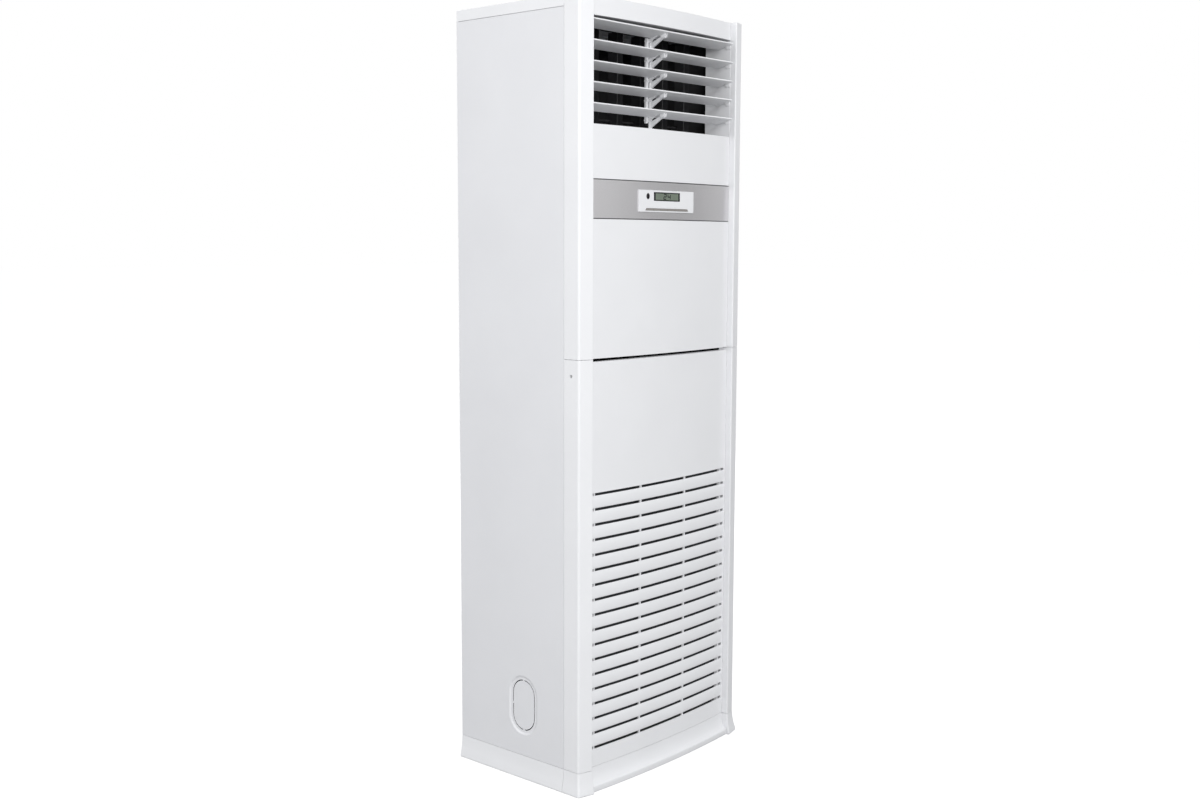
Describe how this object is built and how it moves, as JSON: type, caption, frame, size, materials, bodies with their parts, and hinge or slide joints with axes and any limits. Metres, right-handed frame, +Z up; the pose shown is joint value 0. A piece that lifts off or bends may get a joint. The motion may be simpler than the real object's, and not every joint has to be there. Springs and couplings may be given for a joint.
{
  "type": "floor standing air conditioner",
  "caption": "Tall white floor standing air conditioner with louvred outlet, silver control band with display, and slatted intake panel over a flared plinth",
  "frame": {"origin": "on the floor, under the middle of the bounding box", "axes": "+Z up, -Y the front with the outlet and the display, +X to the right seen from the front"},
  "size_m": [0.614, 0.418, 1.81],
  "materials": {
    "white_plastic": "smooth moulded, semi matt",
    "white_sheet": "powder coated, fine texture",
    "silver_plastic": "silver paint, satin",
    "zinc_steel": "zinc coated",
    "black_plastic": "smooth, matt",
    "grey_plastic": "smooth, matt",
    "key_plastic": "smooth, satin",
    "clear_window": "clear, tinted",
    "board_laminate": "solder mask",
    "coil_aluminium": "fins, mill finish"
  },
  "bodies": {
    "cabinet": {"base_pan": "zinc_steel", "blower_housing": "white_plastic", "blower_shelf": "zinc_steel", "control_band": "silver_plastic", "display_board": "board_laminate", "display_housing": "white_plastic", "drain_pan": "grey_plastic", "electrical_box": "grey_plastic", "evaporator_coil": "coil_aluminium", "fan_motor": "grey_plastic", "header_panel": "white_plastic", "lcd_window": "clear_window", "louvre_post": "white_plastic", "middle_panel": "white_plastic", "outlet_wall_left": "white_plastic", "outlet_wall_right": "white_plastic", "pillar_lower_left": "white_plastic", "pillar_lower_right": "white_plastic", "pillar_screw_left": "zinc_steel", "pillar_screw_right": "zinc_steel", "pillar_upper_left": "white_plastic", "pillar_upper_right": "white_plastic", "plinth_corner_left": "white_plastic", "plinth_corner_right": "white_plastic", "plinth_front": "white_plastic", "plinth_rear": "white_plastic", "plinth_side_left": "white_plastic", "plinth_side_right": "white_plastic", "rear_panel": "zinc_steel", "receiver_window": "clear_window", "side_panel_left": "white_sheet", "side_panel_right": "white_sheet", "sill_panel": "white_plastic", "swing_motor": "zinc_steel", "top_cover": "white_plastic", "vane_rail_bottom": "black_plastic", "vane_rail_top": "black_plastic"},
    "louvre_1": {"louvre_1": "white_plastic"},
    "louvre_2": {"louvre_2": "white_plastic"},
    "louvre_3": {"louvre_3": "white_plastic"},
    "louvre_4": {"louvre_4": "white_plastic"},
    "louvre_5": {"louvre_5": "white_plastic"},
    "louvre_link": {"louvre_link": "white_plastic"},
    "vane_1": {"vane_1": "black_plastic"},
    "vane_2": {"vane_2": "black_plastic"},
    "vane_3": {"vane_3": "black_plastic"},
    "vane_4": {"vane_4": "black_plastic"},
    "vane_5": {"vane_5": "black_plastic"},
    "vane_6": {"vane_6": "black_plastic"},
    "vane_link": {"vane_link": "black_plastic"},
    "button_1": {"button_1": "key_plastic"},
    "button_2": {"button_2": "key_plastic"},
    "button_3": {"button_3": "key_plastic"},
    "button_4": {"button_4": "key_plastic"},
    "button_5": {"button_5": "key_plastic"},
    "button_6": {"button_6": "key_plastic"},
    "blower_wheel": {"blower_wheel": "grey_plastic"},
    "intake_panel": {"intake_panel": "white_plastic"},
    "air_filter": {"air_filter": "grey_plastic"}
  },
  "joints": [
    {"name": "louvre_1_swing", "type": "hinge", "parent": "cabinet", "child": "louvre_1", "pos_m": [0, -0.17647, 1.74941], "axis": [1, 0, 0], "range_deg": [-8, 25]},
    {"name": "louvre_2_swing", "type": "hinge", "parent": "cabinet", "child": "louvre_2", "pos_m": [0, -0.17647, 1.70381], "axis": [1, 0, 0], "range_deg": [-8, 25]},
    {"name": "louvre_3_swing", "type": "hinge", "parent": "cabinet", "child": "louvre_3", "pos_m": [0, -0.17647, 1.65821], "axis": [1, 0, 0], "range_deg": [-8, 25]},
    {"name": "louvre_4_swing", "type": "hinge", "parent": "cabinet", "child": "louvre_4", "pos_m": [0, -0.17647, 1.61261], "axis": [1, 0, 0], "range_deg": [-8, 25]},
    {"name": "louvre_5_swing", "type": "hinge", "parent": "cabinet", "child": "louvre_5", "pos_m": [0, -0.17647, 1.56701], "axis": [1, 0, 0], "range_deg": [-8, 25]},
    {"name": "louvre_link_hinge", "type": "hinge", "parent": "louvre_1", "child": "louvre_link", "pos_m": [-0.009, -0.13647, 1.74041], "axis": [1, 0, 0], "range_deg": [-30, 30]},
    {"name": "vane_1_swing", "type": "hinge", "parent": "cabinet", "child": "vane_1", "pos_m": [-0.2125, -0.075, 1.65], "axis": [0, 0, 1], "range_deg": [-30, 30]},
    {"name": "vane_2_swing", "type": "hinge", "parent": "cabinet", "child": "vane_2", "pos_m": [-0.1275, -0.075, 1.65], "axis": [0, 0, 1], "range_deg": [-30, 30]},
    {"name": "vane_3_swing", "type": "hinge", "parent": "cabinet", "child": "vane_3", "pos_m": [-0.0425, -0.075, 1.65], "axis": [0, 0, 1], "range_deg": [-30, 30]},
    {"name": "vane_4_swing", "type": "hinge", "parent": "cabinet", "child": "vane_4", "pos_m": [0.0425, -0.075, 1.65], "axis": [0, 0, 1], "range_deg": [-30, 30]},
    {"name": "vane_5_swing", "type": "hinge", "parent": "cabinet", "child": "vane_5", "pos_m": [0.1275, -0.075, 1.65], "axis": [0, 0, 1], "range_deg": [-30, 30]},
    {"name": "vane_6_swing", "type": "hinge", "parent": "cabinet", "child": "vane_6", "pos_m": [0.2125, -0.075, 1.65], "axis": [0, 0, 1], "range_deg": [-30, 30]},
    {"name": "vane_link_hinge", "type": "hinge", "parent": "vane_1", "child": "vane_link", "pos_m": [-0.2125, -0.039, 1.56], "axis": [0, 0, 1], "range_deg": [-32, 32]},
    {"name": "button_1_press", "type": "slide", "parent": "cabinet", "child": "button_1", "axis": [0, 1, 0], "range_m": [0, 0.001], "stiffness_N_per_m": 300},
    {"name": "button_2_press", "type": "slide", "parent": "cabinet", "child": "button_2", "axis": [0, 1, 0], "range_m": [0, 0.001], "stiffness_N_per_m": 300},
    {"name": "button_3_press", "type": "slide", "parent": "cabinet", "child": "button_3", "axis": [0, 1, 0], "range_m": [0, 0.001], "stiffness_N_per_m": 300},
    {"name": "button_4_press", "type": "slide", "parent": "cabinet", "child": "button_4", "axis": [0, 1, 0], "range_m": [0, 0.001], "stiffness_N_per_m": 300},
    {"name": "button_5_press", "type": "slide", "parent": "cabinet", "child": "button_5", "axis": [0, 1, 0], "range_m": [0, 0.001], "stiffness_N_per_m": 300},
    {"name": "button_6_press", "type": "slide", "parent": "cabinet", "child": "button_6", "axis": [0, 1, 0], "range_m": [0, 0.001], "stiffness_N_per_m": 300},
    {"name": "blower_spin", "type": "hinge", "parent": "cabinet", "child": "blower_wheel", "pos_m": [-0.025, -0.045, 0.4], "axis": [0, 1, 0], "continuous": true},
    {"name": "intake_tilt", "type": "hinge", "parent": "cabinet", "child": "intake_panel", "pos_m": [0, -0.193, 0.0555], "axis": [1, 0, 0], "range_deg": [0, 35]},
    {"name": "filter_lift", "type": "slide", "parent": "intake_panel", "child": "air_filter", "axis": [0, 0, 1], "range_m": [0, 0.25]}
  ],
  "couplings": [
    {"joint": "louvre_2_swing", "follows": "louvre_1_swing", "ratio": 1},
    {"joint": "louvre_3_swing", "follows": "louvre_1_swing", "ratio": 1},
    {"joint": "louvre_4_swing", "follows": "louvre_1_swing", "ratio": 1},
    {"joint": "louvre_5_swing", "follows": "louvre_1_swing", "ratio": 1},
    {"joint": "louvre_link_hinge", "follows": "louvre_1_swing", "ratio": -1},
    {"joint": "vane_2_swing", "follows": "vane_1_swing", "ratio": 1},
    {"joint": "vane_3_swing", "follows": "vane_1_swing", "ratio": 1},
    {"joint": "vane_4_swing", "follows": "vane_1_swing", "ratio": 1},
    {"joint": "vane_5_swing", "follows": "vane_1_swing", "ratio": 1},
    {"joint": "vane_6_swing", "follows": "vane_1_swing", "ratio": 1},
    {"joint": "vane_link_hinge", "follows": "vane_1_swing", "ratio": -1}
  ]
}
